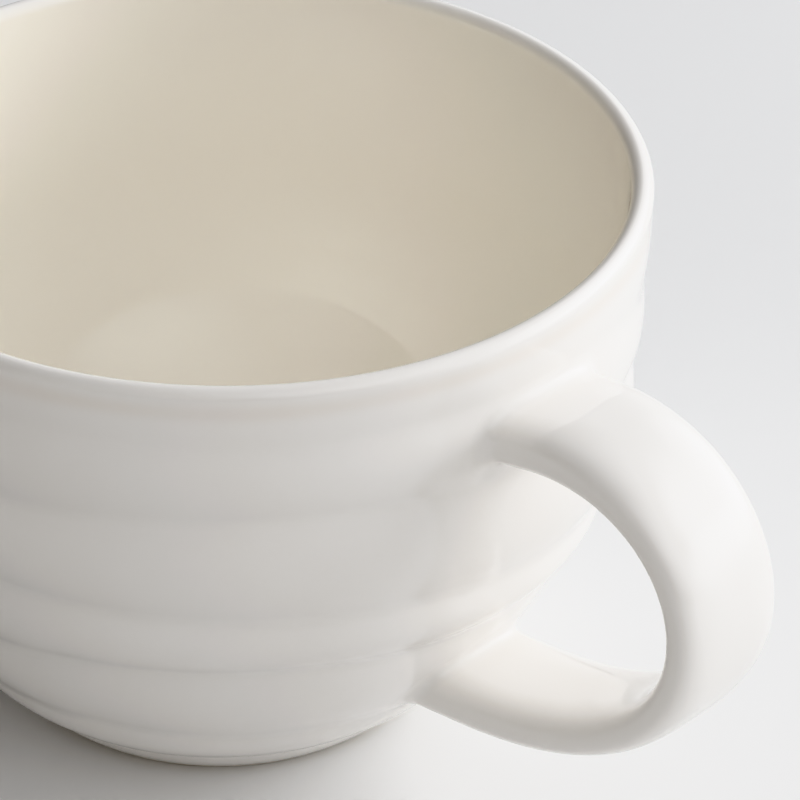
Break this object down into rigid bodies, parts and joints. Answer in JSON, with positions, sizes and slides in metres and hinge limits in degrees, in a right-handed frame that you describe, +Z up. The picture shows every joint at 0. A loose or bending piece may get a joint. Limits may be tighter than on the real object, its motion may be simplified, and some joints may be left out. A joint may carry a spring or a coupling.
{
  "type": "coffee cup",
  "caption": "Rippled, glazed ceramic coffee cup: a round bowl on a low foot ring, with a broad looped strap handle luted on at two roots.",
  "frame": {"origin": "on the cup's axis, in the plane of the foot ring's sole, where the cup stands on a table", "axes": "+Z up along the cup's axis, +X from the axis towards the handle, +Y to the left of the handle seen from outside"},
  "size_m": [0.1194, 0.0924, 0.064],
  "materials": {
    "glaze": "glossy warm white glaze",
    "joint_glaze": "glossy warm white glaze, pooled a little thicker",
    "foot": "glossy outside, wiped bare and satin on the sole"
  },
  "bodies": {
    "root": {"cup_body": "glaze", "foot_ring": "foot", "handle": "glaze", "upper_joint": "joint_glaze", "lower_joint": "joint_glaze"}
  },
  "joints": []
}
